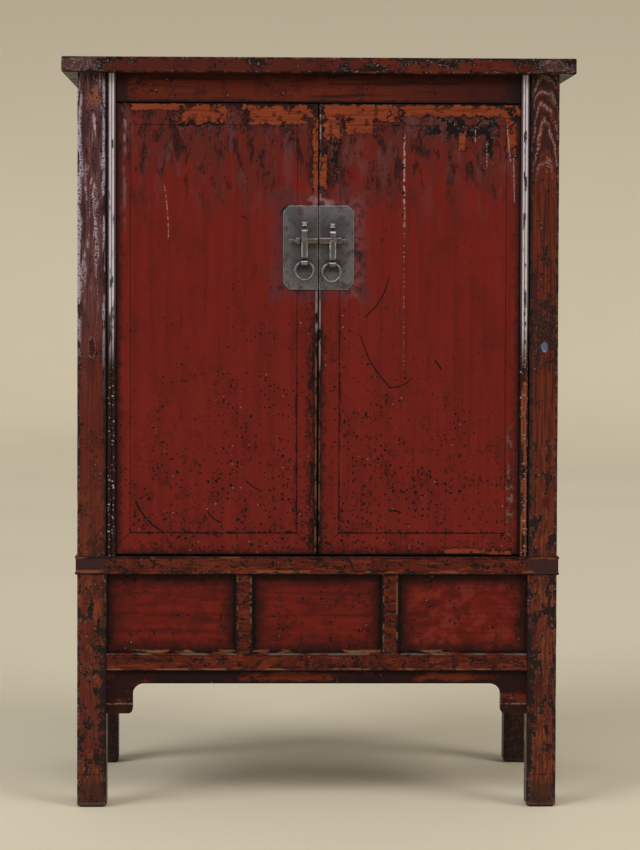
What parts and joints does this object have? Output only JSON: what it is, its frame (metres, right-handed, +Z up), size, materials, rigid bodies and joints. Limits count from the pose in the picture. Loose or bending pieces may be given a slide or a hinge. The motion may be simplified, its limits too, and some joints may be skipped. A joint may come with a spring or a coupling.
{
  "type": "kang cabinet",
  "caption": "Low upright wooden cabinet with square posts, wooden-pivot doors, an iron lock plate with ring pulls and a sliding bolt, and a hidden floor compartment.",
  "frame": {"origin": "on the floor, at the middle of the footprint", "axes": "+Z up, -Y towards the front with the doors, +X to the right seen from the front"},
  "size_m": [0.726, 0.45, 1.065],
  "materials": {
    "red_lacquer": "worn deep red lacquer",
    "worn_lacquer": "dark red-brown lacquer worn through to orange-brown wood",
    "inner_wood": "bare aged wood",
    "iron": "aged wrought iron with rubbed edges"
  },
  "bodies": {
    "carcass": {"apron_front": "worn_lacquer", "apron_left": "worn_lacquer", "apron_right": "worn_lacquer", "back_panels": "inner_wood", "bracket_front_left": "worn_lacquer", "bracket_front_right": "worn_lacquer", "compartment_bottom": "inner_wood", "door_lintel": "worn_lacquer", "floor_boards": "inner_wood", "lower_panel_left": "red_lacquer", "lower_panel_middle": "red_lacquer", "lower_panel_right": "red_lacquer", "lower_rail_back": "inner_wood", "lower_rail_front": "worn_lacquer", "lower_rail_left": "worn_lacquer", "lower_rail_right": "worn_lacquer", "muntins": "worn_lacquer", "post_back_left": "worn_lacquer", "post_back_right": "worn_lacquer", "post_front_left": "worn_lacquer", "post_front_right": "worn_lacquer", "shelf": "inner_wood", "shelf_cleats": "inner_wood", "side_brackets": "worn_lacquer", "side_lower_panels": "worn_lacquer", "side_upper_panels": "worn_lacquer", "top_back_rail": "worn_lacquer", "top_battens": "inner_wood", "top_front_rail": "worn_lacquer", "top_left_end": "worn_lacquer", "top_panel": "worn_lacquer", "top_right_end": "worn_lacquer", "upper_rail_back": "inner_wood", "upper_rail_left": "worn_lacquer", "upper_rail_right": "worn_lacquer", "waist_rail_back": "inner_wood", "waist_rail_front": "worn_lacquer", "waist_rail_left": "worn_lacquer", "waist_rail_right": "worn_lacquer"},
    "left_door": {"left_door_battens": "inner_wood", "left_door_bottom_rail": "red_lacquer", "left_door_hinge_stile": "red_lacquer", "left_door_meeting_stile": "red_lacquer", "left_door_panel": "red_lacquer", "left_door_top_rail": "red_lacquer", "left_lock_plate": "iron", "left_keeper": "iron"},
    "right_door": {"right_door_battens": "inner_wood", "right_door_bottom_rail": "red_lacquer", "right_door_hinge_stile": "red_lacquer", "right_door_meeting_stile": "red_lacquer", "right_door_panel": "red_lacquer", "right_door_top_rail": "red_lacquer", "right_lock_plate": "iron", "right_keeper": "iron", "bolt_sleeve": "iron"},
    "left_ring": {"left_ring": "iron"},
    "right_ring": {"right_ring": "iron"},
    "lock_bolt": {"lock_bolt": "iron"},
    "floor_lid": {"floor_lid": "inner_wood"}
  },
  "joints": [
    {"name": "left_door_swing", "type": "hinge", "parent": "carcass", "child": "left_door", "pos_m": [-0.2928, -0.20265, 0.3594], "axis": [0, 0, -1], "range_deg": [0, 140]},
    {"name": "right_door_swing", "type": "hinge", "parent": "carcass", "child": "right_door", "pos_m": [0.2928, -0.20265, 0.3594], "axis": [0, 0, 1], "range_deg": [0, 140]},
    {"name": "lock_bolt_slide", "type": "slide", "parent": "left_door", "child": "lock_bolt", "axis": [1, 0, 0], "range_m": [0, 0.008]},
    {"name": "left_ring_swing", "type": "hinge", "parent": "left_door", "child": "left_ring", "pos_m": [-0.02, -0.21039, 0.77631], "axis": [-1, 0, 0], "range_deg": [0, 100]},
    {"name": "right_ring_swing", "type": "hinge", "parent": "right_door", "child": "right_ring", "pos_m": [0.02, -0.21039, 0.77381], "axis": [-1, 0, 0], "range_deg": [0, 100]},
    {"name": "floor_lid_lift", "type": "slide", "parent": "carcass", "child": "floor_lid", "axis": [0, 0, 1], "range_m": [0, 0.15]}
  ]
}
